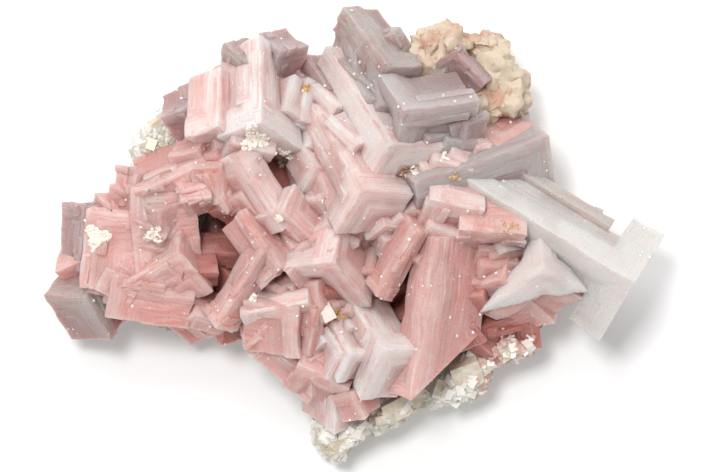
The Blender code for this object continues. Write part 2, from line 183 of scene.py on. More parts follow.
def grain_heap(grains, rng):
    """Small blocks of salt, turned at random, from the place, size and colour of each."""
    heap = bmesh.new()
    for first in range(0, len(grains), HANDFUL):
        handful = bmesh.new()
        tint = handful.loops.layers.float_color.new("tint")
        for place, size, colour in grains[first:first + HANDFUL]:
            axis = Vector([rng.uniform(-1, 1) for _ in range(3)]).normalized()
            sides = [size * rng.uniform(*GRAIN_STRETCH) for _ in range(3)]
            turn = Matrix.Rotation(rng.uniform(0, FULL_TURN), 4, axis)
            shape = Matrix.Translation(place) @ turn @ Matrix.Diagonal((*sides, 1))
            block = bmesh.ops.create_cube(handful, size=1, matrix=shape)["verts"]
            for loop in (loop for vert in block for loop in vert.link_loops):
                loop[tint] = colour
        mesh = bpy.data.meshes.new("handful")
        handful.to_mesh(mesh)
        handful.free()
        heap.from_mesh(mesh)
        bpy.data.meshes.remove(mesh)
    return heap


def finish_piece(name, bm, material, node, sharp):
    """Makes a shape in millimetres a piece in metres, with edges over sharp degrees left sharp."""
    bmesh.ops.translate(bm, verts=bm.verts, vec=MIDDLE)
    bmesh.ops.scale(bm, verts=bm.verts, vec=(MM, MM, MM))
    mesh = bpy.data.meshes.new(name)
    bm.to_mesh(mesh)
    bm.free()
    mesh.polygons.foreach_set("use_smooth", [True] * len(mesh.polygons))
    mesh.set_sharp_from_angle(angle=math.radians(sharp))
    mesh.materials.append(material)
    piece = bpy.data.objects.new(name, mesh)
    bpy.context.scene.collection.objects.link(piece)
    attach(piece, "root")
    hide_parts(node)


# Granular rock salt, broken: its grains, some 0.6 mm wide, give it a sugary surface. It is white where
# it is clean, and greenish grey or beige in patches some 8 mm wide where clay is in it.
SALT_IOR = 1.544
granular_salt = bpy.data.materials.new("granular_rock_salt")
granular_salt.use_nodes = True
tree = granular_salt.node_tree
shader = tree.nodes["Principled BSDF"]
where = add(tree, "TexCoord").outputs["Object"]
zones = add(tree, "TexNoise", {"Vector": where, "Scale": 1 / (8.333 * MM), "Detail": 3}).outputs[0]
grain_scale = 1 / (0.625 * MM)
grain = add(tree, "TexVoronoi", {"Vector": where, "Scale": grain_scale}, feature="F1")
grain_edge = add(tree, "TexVoronoi", {"Vector": where, "Scale": grain_scale}, feature="DISTANCE_TO_EDGE")
clay = add(tree, "MapRange", {0: zones, 1: 0.42, 2: 0.62}, interpolation_type="SMOOTHSTEP").outputs[0]
clayey = {0: clay, 6: linear(CRUST_GREY), 7: linear(CRUST_BEIGE)}
body = add(tree, "Mix", clayey, data_type="RGBA").outputs[2]
pick = add(tree, "SeparateColor", {0: grain.outputs["Color"]}).outputs[0]
white = add(tree, "MapRange", {0: pick, 1: 0.45, 2: 0.9}).outputs[0]
body = add(tree, "Mix", {0: white, 6: body, 7: linear(CRUST_WHITE)}, data_type="RGBA").outputs[2]
tree.links.new(body, shader.inputs["Base Color"])
gap = add(tree, "MapRange", {0: grain_edge.outputs[0], 1: 0, 2: 0.25}).outputs[0]
bumps = add(tree, "Bump", {"Strength": 0.7, "Distance": 0.2 * MM, "Height": gap}).outputs[0]
tree.links.new(bumps, shader.inputs["Normal"])
rough = add(tree, "MapRange", {0: pick, 3: 0.3, 4: 0.7}).outputs[0]
tree.links.new(rough, shader.inputs["Roughness"])
shader.inputs["IOR"].default_value = SALT_IOR
shader.inputs["Subsurface Weight"].default_value = 0.35
shader.inputs["Subsurface Radius"].default_value = (1, 0.8, 0.6)
shader.inputs["Subsurface Scale"].default_value = 1.5 * MM

crust = crust_block(CRUST_OUTLINE, 0, CRUST_HEIGHT, CRUST_PITCH, CRUST_LUMPS)
roughen(crust, 0, CRUST_BUMPS)
crust.normal_update()
rng = random.Random(11)


def crust_tint(place, rng):
    """The colour of a grain: often rosy at the right, and elsewhere white, grey or beige in patches."""
    if place.x > ROSY_FROM and rng.random() < ROSY_SHARE:
        return linear(CRUST_ROSE)
    clay = noise.noise(place / CLAY_PATCH) + rng.uniform(-CLAY_MIX, CLAY_MIX)
    return linear(CRUST_WHITE if clay < CLEAN_BELOW else CRUST_BEIGE if clay > BEIGE_ABOVE else CRUST_GREY)


edge_faces = [
    face for face in crust.faces
    if face.normal.z > -0.9 and near_edge(face.calc_center_median(), CRUST_OUTLINE, EDGE_REACH)
]
packed = []
for place, normal in spread(edge_faces, CRUST_GRAINS, rng):
    size = rng.choice(GRAIN_SIZES)
    if place.z > size:
        packed.append((place - GRAIN_SUNK * size * normal, size, crust_tint(place, rng)))
grains = grain_heap(packed, rng)
tints = grains.loops.layers.float_color["tint"]
for x, y, z, size, turn, tilt in CRUST_BLOCKS:
    shape = Matrix.Translation((x, y, z)) @ Matrix.Rotation(math.radians(turn), 4, "Z")
    shape = shape @ Matrix.Rotation(math.radians(tilt), 4, "X")
    shape = shape @ Matrix.Diagonal((size, 0.8 * size, 0.7 * size, 1))
    block = bmesh.ops.create_cube(grains, size=1, matrix=shape)["verts"]
    for loop in (loop for vert in block for loop in vert.link_loops):
        loop[tints] = linear(CRUST_BEIGE)

# Loose-set cubes of the same salt. Each is a little block with frosted faces, so a small share of the
# light passes through and the rest comes back white.
salt_grain = bpy.data.materials.new("rock_salt_grains")
salt_grain.use_nodes = True
tree = salt_grain.node_tree
shader = tree.nodes["Principled BSDF"]
where = add(tree, "TexCoord").outputs["Object"]
tint = add(tree, "Attribute", attribute_name="tint").outputs["Color"]
mottle = add(tree, "TexNoise", {"Vector": where, "Scale": 1 / (1.111 * MM), "Detail": 3}).outputs[0]
frost = add(tree, "MapRange", {0: mottle, 1: 0.45, 2: 0.7, 4: 0.6}).outputs[0]
body = add(tree, "Mix", {0: frost, 6: tint, 7: linear("#F4F1EA")}, data_type="RGBA").outputs[2]
tree.links.new(body, shader.inputs["Base Color"])
rough = add(tree, "MapRange", {0: mottle, 3: 0.15, 4: 0.6}).outputs[0]
tree.links.new(rough, shader.inputs["Roughness"])
bumps = add(tree, "Bump", {"Strength": 0.4, "Distance": 0.1 * MM, "Height": mottle}).outputs[0]
tree.links.new(bumps, shader.inputs["Normal"])
shader.inputs["IOR"].default_value = SALT_IOR
shader.inputs["Transmission Weight"].default_value = 0.08

finish_piece("granular_salt_crust", crust, granular_salt, "salt_crust_matrix", 60)
finish_piece("salt_crust_grains", grains, salt_grain, "salt_crust_matrix", 20)


# Pink halite crystals. Cubes and long blocks of rock salt from a brine lake, pink from the algae shut in
# as they grew. Edges grew faster than faces, so each face is a hopper, with raised rims and ledges that
# step down into a pit. The crystals grew into each other, and are one solid.

Crystal = namedtuple("Crystal", "name x y z bearing dip roll ridge left right rim pit tint")
# The lead corner (x, y, z), in mm; the ridge's bearing from +X, its dip below level and the roll about
# it, in degrees; the lengths of the ridge, left and right edges, the rim's width and the pit's depth,
# in mm; and the tint.
CRYSTALS = (
    # The stack of parallel crystals that crosses the middle from upper left to lower right
    Crystal("top_star", 5.7, 15.0, 35.5, 122, 38, 44, 25.0, 14.0, 13.0, 4.6, 3.2, "pale"),
    Crystal("centre_star", 1.2, 7.5, 37.0, 119, 39, 44, 21.5, 9.8, 10.5, 4.2, 3.0, "blush"),
    Crystal("lower_star", 4.5, -18.8, 31.0, 121, 42, 48, 14.8, 11.0, 7.5, 4.0, 2.6, "pale"),
    Crystal("small_star", -0.5, -19.5, 28.3, 121, 40, 46, 9.0, 6.5, 5.0, 1.5, 1.6, "pale"),
    Crystal("smaller_star", -2.3, -19.2, 27.0, 121, 40, 46, 8.0, 6.5, 5.0, 1.4, 1.6, "pale"),
    Crystal("peak_star", 5.5, 28.0, 30.0, 125, 38, 44, 16.0, 12.0, 7.5, 4.5, 2.4, "smoke"),
    Crystal("peak_block", 6.2, 33.0, 25.0, 303, 22, 40, 7.5, 3.0, 9.0, 1.6, 0.6, "smoke"),
    Crystal("block_star", 8.0, 20.5, 37.5, 9, 20, 50, 13.8, 10.5, 8.5, 2.6, 4.6, "ash"),
    Crystal("crust_crystal", 16.5, 30.6, 26.0, 313, 5, 45, 7.5, 3.0, 4.5, 1.0, 0.5, "lilac"),
    Crystal("bow_star", -3.5, -4.3, 33.5, 310, 44, 47, 13.5, 8.5, 9.5, 3.6, 2.6, "blush"),
    # The right side
    Crystal("tee_beam", 46.3, -7.8, 30.5, 148, 3, 45, 32.5, 8.5, 8.6, 4.6, 3.4, "snow"),
    Crystal("tee_head", 46.3, -7.8, 30.5, 148, 3, 45, 6.2, 15.8, 13.9, 4.6, 1.4, "snow"),
    Crystal("tee_step", 42.4, 1.4, 24.35, 148, 3, 45, 20.5, 4.4, 2.4, 1.0, 0.5, "flint"),
    Crystal("tee_ledge", 40.6, 3.0, 23.0, 149, 4, 48, 16.0, 3.4, 2.0, 0.8, 0.5, "flint"),
    Crystal("triangle_star", 31.2, -5.3, 31.5, 94, 38, 45, 9.6, 15.4, 10.4, 3.9, 1.8, "frost"),
    Crystal("triangle_foot", 31.0, -6.8, 28.0, 94, 38, 45, 8.0, 13.5, 9.6, 2.5, 1.6, "rose"),
    Crystal("roof_block", 32.5, 16.5, 25.0, 199, -19, 32, 25.0, 14.0, 12.0, 4.4, 1.8, "ash"),
    Crystal("great_blade", 9.2, -27.2, 27.0, 81, -9, 52, 27.5, 5.8, 13.5, 3.6, 1.4, "rose"),
    Crystal("blade_shoulder", 17.5, 1.0, 31.0, 356, 8, 24, 11.0, 6.0, 12.0, 3.0, 1.0, "rose"),
    Crystal("blade_shelf", 12.5, 6.2, 33.0, 347, 12, 40, 9.5, 8.0, 9.0, 3.0, 1.4, "blush"),
    Crystal("splinter", 3.7, -10.2, 27.0, 60, -22, 45, 14.0, 4.8, 3.6, 1.6, 1.0, "rose"),
    Crystal("low_block", 30.2, -12.6, 17.5, 196, -4, 40, 10.0, 8.0, 8.0, 2.6, 0.8, "deep"),
    # The upper left towers
    Crystal("tower_star", -15.3, 18.6, 33.0, 91, 27, 34, 16.5, 9.0, 12.0, 4.6, 2.8, "pale"),
    Crystal("left_tower", -22.6, 18.0, 30.5, 88, 27, 38, 11.5, 7.0, 8.0, 3.0, 1.6, "blush"),
    Crystal("tower_back", -12.4, 30.4, 24.5, 256, 35, 45, 6.0, 6.0, 6.0, 1.4, 0.6, "lilac"),
    Crystal("tower_flank", -17.4, 28.6, 26.6, 143, 28, 42, 6.0, 5.5, 5.5, 1.6, 0.8, "smoke"),
    Crystal("dark_slab", -27.0, 21.6, 23.0, 200, 10, 30, 5.5, 6.0, 8.0, 1.4, 0.6, "lilac"),
    Crystal("tower_foot", -20.5, 15.5, 30.0, 345, 14, 36, 8.0, 7.0, 9.0, 2.6, 1.0, "blush"),
    # The left mass
    Crystal("upper_band", -24.5, 12.0, 27.0, 203, 6, 34, 12.5, 6.5, 12.0, 3.0, 1.2, "rose"),
    Crystal("brow_block", -36.0, 11.0, 22.5, 262, 4, 40, 14.0, 9.0, 6.0, 2.4, 0.6, "rose"),
    Crystal("mass_star", -28.8, -2.6, 27.0, 210, 20, 30, 14.5, 9.5, 13.0, 4.4, 1.0, "rose"),
    Crystal("mass_crown", -32.5, 4.0, 27.0, 270, 30, 42, 12.0, 8.0, 12.0, 3.8, 1.0, "rose"),
    Crystal("left_lobe", -45.2, 5.0, 19.0, 268, 8, 40, 11.0, 9.0, 6.0, 2.2, 0.6, "lilac"),
    Crystal("corner_cube", -44.8, -10.0, 20.5, 300, 33, 45, 10.5, 11.5, 9.0, 2.4, 0.5, "smoke"),
    Crystal("lower_wedge", -30.2, -10.8, 18.0, 322, 22, 36, 10.0, 6.5, 8.0, 3.0, 1.0, "rose"),
    Crystal("left_bump", -38.8, -7.0, 22.5, 322, 28, 40, 10.0, 10.0, 11.0, 3.0, 0.6, "rose"),
    Crystal("left_saddle", -40.0, 1.0, 22.5, 350, 16, 42, 11.0, 10.0, 11.0, 3.4, 0.6, "rose"),
    Crystal("mass_west", -44.5, 4.5, 22.3, 266, 5, -12, 13.0, 10.0, 8.0, 2.6, 0.5, "rose"),
    Crystal("mass_middle", -37.5, 8.0, 25.6, 276, 9, 8, 15.0, 11.0, 8.0, 3.0, 0.5, "rose"),
    Crystal("mass_shelf", -40.0, -6.5, 23.4, 350, 4, 74, 14.0, 7.0, 7.5, 2.0, 0.5, "rose"),
    # The pink tangle left of the middle
    Crystal("tangle_star", -12.0, 3.8, 31.0, 316, 30, 36, 11.0, 6.0, 12.0, 3.8, 2.0, "blush"),
    Crystal("tangle_arm", -19.5, 13.5, 31.0, 301, 8, 38, 15.0, 5.0, 9.0, 3.2, 2.2, "blush"),
    Crystal("pink_shelf", -24.8, 10.0, 28.0, 300, 20, 28, 7.5, 6.0, 8.0, 2.0, 0.8, "rose"),
    Crystal("prism", -22.8, -15.2, 24.5, 58, -20, 45, 16.0, 4.4, 5.0, 1.8, 0.8, "rose"),
    Crystal("pocket_beam", -28.5, -2.8, 20.5, 0, 0, 45, 15.0, 5.0, 5.0, 2.2, 0.6, "deep"),
    Crystal("pocket_floor", -23.0, 0.0, 12.5, 340, 30, 40, 8.0, 9.0, 9.0, 2.0, 0.8, "deep"),
    Crystal("pocket_block", -28.6, 5.4, 27.0, 15, -4, 32, 5.0, 3.5, 6.0, 1.2, 0.5, "rose"),
    Crystal("vee_left", -12.0, -5.6, 30.0, 126, 8, 40, 12.0, 6.0, 5.5, 2.2, 1.2, "rose"),
    Crystal("vee_right", -11.0, -6.0, 29.5, 42, 4, 45, 10.0, 6.0, 6.0, 2.4, 1.2, "rose"),
    Crystal("keel", -19.0, -13.2, 25.5, 12, -14, 40, 12.0, 7.0, 8.0, 2.8, 1.0, "blush"),
    Crystal("skirt", -9.0, -21.0, 23.5, 331, 6, 40, 9.5, 9.0, 8.0, 2.6, 1.2, "rose"),
    Crystal("rose_face", -6.5, -12.0, 27.0, 262, 26, 42, 10.0, 7.0, 8.0, 2.6, 1.0, "rose"),
    Crystal("rose_panel", -9.4, -11.6, 28.0, 272, 24, 76, 9.5, 8.0, 9.5, 2.6, 0.8, "rose"),
    Crystal("rose_wall", -14.5, -15.0, 25.0, 225, 30, 44, 6.5, 6.0, 9.0, 3.0, 0.8, "rose"),
    Crystal("skirt_low", -14.5, -16.6, 21.5, 318, 12, 66, 13.5, 8.0, 4.8, 1.6, 0.6, "blush"),
    Crystal("toe", -3.0, -26.5, 19.5, 268, 32, 44, 8.0, 8.0, 9.0, 2.6, 0.8, "pale"),
    Crystal("toe_side", 1.0, -25.0, 20.0, 300, 30, 44, 3.5, 4.5, 6.0, 2.6, 0.8, "rose"),
    # Deeper crystals, which close the hollows between those above
    Crystal("deep_top", -3.5, 16.0, 26.5, 118, 36, 44, 18.0, 20.0, 20.0, 3.0, 0.9, "rose"),
    Crystal("deep_star", 3.0, 6.0, 31.0, 118, 36, 44, 18.0, 20.0, 20.0, 3.0, 0.9, "rose"),
    Crystal("deep_middle", -4.5, -9.0, 26.5, 125, 38, 46, 18.0, 18.0, 18.0, 3.0, 0.9, "deep"),
    Crystal("deep_tower", -17.5, 19.0, 29.5, 95, 30, 40, 14.0, 15.0, 15.0, 3.0, 0.9, "rose"),
    Crystal("deep_pocket", -12.0, 3.0, 24.5, 105, 34, 44, 15.0, 10.0, 15.0, 3.0, 0.9, "deep"),
    Crystal("deep_left", -34.0, -1.0, 24.5, 140, 34, 44, 15.0, 15.0, 8.0, 3.0, 0.9, "rose"),
    Crystal("deep_lobe", -42.0, -3.0, 20.0, 200, 30, 44, 10.0, 12.0, 12.0, 3.0, 0.9, "rose"),
    Crystal("deep_right", 20.0, 6.0, 28.5, 40, 36, 45, 17.0, 18.0, 18.0, 3.0, 0.9, "rose"),
    Crystal("deep_blade", 15.0, -12.0, 24.0, 75, 34, 45, 16.0, 16.0, 16.0, 3.0, 0.9, "deep"),
    Crystal("deep_corner", 25.0, -7.0, 26.0, 200, 34, 45, 14.0, 14.0, 14.0, 3.0, 0.9, "rose"),
    Crystal("deep_foot", 12.5, -18.5, 15.5, 95, 24, 45, 14.0, 8.0, 7.0, 2.0, 0.6, "deep"),
    Crystal("deep_toe", -7.0, -20.5, 23.0, 150, 34, 45, 7.0, 8.0, 13.0, 3.0, 0.9, "rose"),
    Crystal("deep_back", 12.0, 22.0, 28.0, 60, 34, 45, 10.0, 15.0, 15.0, 3.0, 0.9, "smoke"),
    Crystal("deep_roof", 24.0, 15.0, 25.5, 30, 30, 45, 8.0, 14.0, 14.0, 3.0, 0.9, "rose"),
    Crystal("deep_peak", 1.0, 27.0, 25.0, 100, 34, 45, 10.0, 12.0, 10.0, 3.0, 0.9, "smoke"),
    Crystal("deep_keel", -19.0, -9.0, 21.5, 250, 34, 45, 12.0, 12.0, 12.0, 3.0, 0.9, "deep"),
)
CORNERS = ("triangle_star",)  # these end on a slope through the tips of their three edges
# Broken ends: the crystal, x and y of a point on the break in mm, and the bearing it faces in degrees
ENDS = (("great_blade", 9.4, -27.4, 314),)
PIT_SHARE = 0.55  # how much of the tabled depth the pits reach
RIM_TAPER = 0.72  # a rim's width at its far end, as a share of its width at the lead corner
WIDEST_RIM, DEEPEST_PIT = 0.45, 0.6  # as shares of a face's width and of the crystal's depth
# Treads and drops of the ledges, in mm: low ones on a rim, tall ones into the pit, low ones on its floor
RIM_LEDGES = ((0.35, 1.1), (0.02, 0.07))
PIT_LEDGES = ((0.2, 0.7), (0.1, 0.3))
FLOOR_LEDGES = ((0.4, 1.6), (0.02, 0.1))
RIM_END, PIT_END, FLOOR_END = 0.9, 0.62, 0.86  # how far in each kind goes, as shares of rim or face
STEEPEST = 0.8  # how much the ledges may drop for each mm inwards
RISER = 0.05  # mm, how far a ledge's riser leans in
FAR_TREAD, FAR_RISER = 0.06, 0.02  # mm, the same on the two sides away from the lead corner
FAR_REACH = 4.0  # mm, how far a pit would run on past the crystal's ends
CROWN_FLOOR = 5.0  # mm, where the crystals end inside the crust
SLICE = 2.3  # mm, length of the slices that let an edge waver
WAVER = ((4.5, 0.22), (1.6, 0.1))  # mm, size and depth of the unevenness of growth
SEED_RANGE = 90  # how far apart the crystals' patterns are taken from
ROUGH_TINTS = ("rose", "deep", "lilac", "smoke")  # crystals of these tints grew less evenly
ROUGHER = 2.2  # by how much
# Each tint: the milky salt's colour, how much more algae than usual it holds, and how clear it is
TINTS = {
    "snow": ("#DFDBD7", -0.85, 0.15),
    "frost": ("#EBE0DC", -0.35, 0.12),
    "flint": ("#C8BFB9", -0.6, 0.2),
    "ash": ("#C3BBB9", -0.1, 0.2),
    "pale": ("#EAE1DE", 0.0, 0.12),
    "blush": ("#EFE0DC", 0.25, 0.12),
    "rose": ("#E8D2CC", 0.45, 0.12),
    # The extra pink of this tint, on crystals down in hollows and pockets, is painted shade
    "deep": ("#D2AFA7", 1.2, 0.15),
    "lilac": ("#C8BABA", 0.2, 0.25),
    "smoke": ("#C8C0BC", 0.1, 0.3),
}
# Growth beside the edges: how many small blocks, how proud they stand in mm, and their length as a share
# of the edge's
CLEAN_GROWTH = (3, (0.05, 0.14), (0.4, 0.9))
ROUGH_GROWTH = (8, (0.08, 0.35), (0.1, 0.5))
BLOCK_ROOT = 1.2  # mm, how deep a small block is rooted in its crystal
BLOCK_WIDTH = (0.25, 0.8)  # as a share of the rim
PLAIN = (  # these have no such growth
    "tee_beam", "tee_head", "tee_step", "tee_ledge", "triangle_star", "rose_panel", "roof_block",
    "great_blade", "corner_cube",
)
# Hollows that stay open: x, y and radius in mm
HOLLOWS = (
    (-23.5, -0.5, 6.0), (-22.5, -7.5, 3.0), (-11.5, 8.8, 4.8), (6.5, -12.5, 5.0), (1.5, -1.5, 3.5),
    (-5.0, -21.0, 3.0), (26.5, 0.5, 3.0), (5.5, 10.5, 2.5), (22.5, -13.5, 2.5), (11.0, 25.5, 3.0),
    (-10.0, 24.5, 2.5), (34.0, 12.0, 4.0), (26.0, 18.0, 4.0), (39.0, -10.5, 3.0), (36.0, -4.3, 3.0),
    (31.5, 8.0, 3.0), (27.7, 9.2, 3.0), (-12.5, -15.0, 4.5), (6.0, -29.0, 4.5),
)
FILL_PITCH, FILL_REACH = 2.6, 4.5  # mm, how close small crystals stand, and how far they look round
FILL_COLUMNS, FILL_ROWS = range(-20, 19), range(-15, 15)
GAP_DEPTH = 2.2  # mm, how deep a gap must be to be filled
ROUGH_SIDE = -21.0  # mm, the x left of which small crystals also lie like shingles on the large ones
SHINGLE_RELIEF = 6  # mm, how uneven the ground under a shingle may be


def edge_directions(crystal):
    """Unit vectors along the crystal's ridge, right edge and left edge."""
    bearing, dip, roll = (math.radians(a) for a in (crystal.bearing, crystal.dip, crystal.roll))
    ridge = Vector((math.cos(bearing) * math.cos(dip), math.sin(bearing) * math.cos(dip), -math.sin(dip)))
    side = Vector((-math.sin(bearing), math.cos(bearing), 0))
    up = ridge.cross(side)
    left = math.cos(roll) * side - math.sin(roll) * up
    right = -math.sin(roll) * side - math.cos(roll) * up
    return ridge, right, left


def step_in(bm, face, axis, near, far, down):
    """Insets a face by near on its sides at the lead corner and by far on the others, and lowers it."""
    bmesh.ops.inset_individual(bm, faces=[face], thickness=1e-4, depth=0)
    middle = face.calc_center_median()
    for vert in face.verts:
        beyond = [a for a in range(3) if a != axis and vert.co[a] > middle[a]]
        for a in range(3):
            if a == axis:
                vert.co[a] += down
            elif a in beyond:
                vert.co[a] -= far
            else:
                vert.co[a] += near * (RIM_TAPER if beyond else 1)


def growth_steps(rim, pit, across, rng):
    """Tread and drop of each ledge from an edge inwards: on the rim, into the pit and on its floor."""
    steps = []
    inset, depth = 0, 0

    def ledge(treads, drops):
        nonlocal inset, depth
        tread, down = rng.uniform(*treads), rng.uniform(*drops)
        allowed = STEEPEST * RIM_TAPER * (inset + tread) - depth
        steps.append((tread, min(down, max(0, allowed))))
        inset += tread + RISER
        depth += steps[-1][1]

    while inset < RIM_END * rim:
        ledge(*RIM_LEDGES)
    while depth < pit and inset < PIT_END * across:
        ledge(*PIT_LEDGES)
    while inset < FLOOR_END * across:
        ledge(*FLOOR_LEDGES)
    return steps


def cut_off(bm, point, outward):
    """Cuts a closed shape off flat, and drops what is beyond the plane."""
    everything = bm.verts[:] + bm.edges[:] + bm.faces[:]
    cut = bmesh.ops.bisect_plane(bm, geom=everything, plane_co=point, plane_no=outward, clear_outer=True)
    edges = [e for e in cut["geom_cut"] if isinstance(e, bmesh.types.BMEdge)]
    if edges:
        bmesh.ops.holes_fill(bm, edges=edges)


def hopper_crystal(crystal, rng):
    """A crystal in its place, in mm, with its ledges, and with its growth lines as UVs and colours."""
    size = Vector((crystal.ridge, crystal.right, crystal.left))
    bm = bmesh.new()
    facing = bm.faces.layers.int.new("facing")
    own = bm.verts.layers.float_vector.new("own")
    bmesh.ops.create_cube(bm, size=1, matrix=Matrix.Translation((0.5, 0.5, 0.5)))
    bmesh.ops.scale(bm, verts=bm.verts, vec=size + Vector((FAR_REACH,) * 3))
    for axis in range(3):
        face = min(bm.faces, key=lambda f: f.calc_center_median()[axis])
        face[facing] = axis + 1
        across = min(size[a] for a in range(3) if a != axis)
        rim = min(crystal.rim, WIDEST_RIM * across)
        pit = min(PIT_SHARE * crystal.pit, DEEPEST_PIT * size[axis])
        for tread, down in growth_steps(rim, pit, across, rng):
            step_in(bm, face, axis, tread, FAR_TREAD, 0)
            step_in(bm, face, axis, RISER, FAR_RISER, down)
    for axis in range(3):
        for i in range(1, int(size[axis] / SLICE) + 1):
            point, across = Vector((0, 0, 0)), Vector((0, 0, 0))
            point[axis] = i * SLICE + rng.uniform(-0.3, 0.3)
            across[axis] = 1
            everything = bm.verts[:] + bm.edges[:] + bm.faces[:]
            bmesh.ops.bisect_plane(bm, geom=everything, plane_co=point, plane_no=across)
    for axis in range(3):
        outward = Vector((axis == 0, axis == 1, axis == 2))
        cut_off(bm, outward * size[axis], outward)
    if crystal.name in CORNERS:
        cut_off(bm, (size.x, 0, 0), Vector((1 / size.x, 1 / size.y, 1 / size.z)).normalized())
    seed = Vector([rng.uniform(0, SEED_RANGE) for _ in range(3)])
    for vert in bm.verts:
        vert[own] = vert.co
        waver = (depth * noise.noise_vector(vert.co / length + seed) for length, depth in WAVER)
        vert.co += (ROUGHER if crystal.tint in ROUGH_TINTS else 1) * sum(waver, Vector())
    turn = Matrix(edge_directions(crystal)).transposed().to_4x4()
    placed = Matrix.Translation((crystal.x, crystal.y, crystal.z)) @ turn
    bmesh.ops.transform(bm, verts=bm.verts, matrix=placed)
    for name, x, y, bearing in ENDS:
        if name == crystal.name:
            bearing = math.radians(bearing)
            cut_off(bm, (x, y, 0), (math.cos(bearing), math.sin(bearing), 0))
    cut_off(bm, (0, 0, CROWN_FLOOR), (0, 0, -1))
    bmesh.ops.triangulate(bm, faces=[f for f in bm.faces if len(f.verts) > 4])
    bmesh.ops.recalc_face_normals(bm, faces=bm.faces)
    mark_growth(bm, crystal, turn, seed.x)
    return bm


def mark_growth(bm, crystal, turn, seed):
    """Stores the distances in mm from two edges, the depth in the pit, and the crystal's tint."""
    facing, own = bm.faces.layers.int["facing"], bm.verts.layers.float_vector["own"]
    growth = bm.loops.layers.uv.new("growth")
    tint = bm.loops.layers.float_color.new("tint")
    pit = bm.loops.layers.float_color.new("pit")
    colour, algae, clear = TINTS[crystal.tint]
    for face in bm.faces:
        axis = face[facing] - 1
        normal = turn.transposed() @ face.normal
        if axis < 0:
            axis = max(range(3), key=lambda a: abs(normal[a]))
        u, v = [a for a in range(3) if a != axis]
        for loop in face.loops:
            place = loop.vert[own]
            loop[growth].uv = (place[u], place[v])
            loop[tint] = (*linear(colour)[:3], clear)
            loop[pit] = (place[axis] if face[facing] else 0, algae, seed / SEED_RANGE, crystal.rim)


def side_growth(crystal, rng):
    """Small blocks that grew parallel to a crystal, a little proud of the rims beside its edges."""
    count, proud_range, share_range = ROUGH_GROWTH if crystal.tint in ROUGH_TINTS else CLEAN_GROWTH
    directions = edge_directions(crystal)
    size = (crystal.ridge, crystal.right, crystal.left)
    if crystal.name.startswith("deep") or crystal.name in PLAIN:
        count = 0
    for i in range(count):
        axis = rng.choice((0, 0, 1, 2))
        facing = rng.choice([a for a in range(3) if a != axis])
        across = 3 - axis - facing
        proud = rng.uniform(*proud_range)
        block = [0, 0, 0]
        block[axis] = rng.uniform(*share_range) * size[axis] + 0.6
        block[facing] = proud + BLOCK_ROOT
        block[across] = rng.uniform(*BLOCK_WIDTH) * crystal.rim + 0.3
        start = [0, 0, 0]
        start[axis] = rng.uniform(0, size[axis] + 2 * proud - block[axis])
        start[facing] = -proud
        start[across] = rng.choice((-0.5 * proud, rng.uniform(0, crystal.rim)))
        place = Vector((crystal.x, crystal.y, crystal.z))
        place += sum((start[a] * directions[a] for a in range(3)), Vector())
        yield crystal._replace(
            name=f"{crystal.name}_{i}", x=place.x, y=place.y, z=place.z,
            ridge=block[0], right=block[1], left=block[2], rim=0.5, pit=0.3,
        )


def fill_between(crystals, relief):
    """Small crystals, turned like the nearest large one, in gaps and, on the rough side, as shingles."""
    def level_at(x, y):
        hit = relief.ray_cast(Vector((x, y, 60)), Vector((0, 0, -1)))[0]
        return hit.z if hit else None

    for i, j in ((i, j) for i in FILL_COLUMNS for j in FILL_ROWS):
        rng = random.Random(f"{i} {j}")
        x, y = (FILL_PITCH * (n + rng.uniform(-0.4, 0.4)) for n in (i, j))
        here = level_at(x, y)
        around = [level_at(x + FILL_REACH * math.cos(a), y + FILL_REACH * math.sin(a)) for a in range(6)]
        hollow = any(math.hypot(x - a, y - b) < radius for a, b, radius in HOLLOWS)
        if here is None or None in around or hollow:
            continue
        level = sum(sorted(around)[2:5]) / 3
        nearest = min(crystals, key=lambda c: math.hypot(x - c.x, y - c.y))
        if level - here > GAP_DEPTH:
            bearing = nearest.bearing + rng.uniform(-20, 20)
            dip = rng.uniform(10, 38)
            z = level - rng.uniform(0.4, 1.8)
            roll = 45 + rng.uniform(-10, 10)
        elif x < ROUGH_SIDE and max(around) - min(around) < SHINGLE_RELIEF:
            bearing = nearest.bearing + rng.uniform(-25, 25)
            dip = nearest.dip + rng.uniform(-12, 12)
            z = here + rng.uniform(0.1, 0.7)
            roll = nearest.roll + rng.uniform(-15, 15)
        else:
            continue
        yield nearest._replace(
            name=f"filling_{i}_{j}", x=x, y=y, z=z, bearing=bearing, dip=dip, roll=roll,
            ridge=rng.uniform(5, 8), left=rng.uniform(4, 6), right=rng.uniform(4, 6),
            rim=rng.uniform(0.8, 1.8), pit=0.6,
        )


def grow(crystal, rng):
    """One crystal as an object that is only there until all are joined."""
    bm = hopper_crystal(crystal, rng)
    mesh = bpy.data.meshes.new(crystal.name)
    bm.to_mesh(mesh)
    bm.free()
    return bpy.data.objects.new(crystal.name, mesh)


rng = random.Random(4)
noise.seed_set(4)  # or the edges would waver in another way on each run
grown = [grow(crystal, rng) for crystal in CRYSTALS]
standing = bmesh.new()
for crystal_object in grown:
    standing.from_mesh(crystal_object.data)
relief = BVHTree.FromBMesh(standing)
standing.free()
large = [crystal for crystal in CRYSTALS if not crystal.name.startswith("deep")]
small = list(fill_between(large, relief))
for crystal in CRYSTALS:
    small += side_growth(crystal, random.Random(crystal.name))
grown += [grow(crystal, random.Random(crystal.name)) for crystal in small]

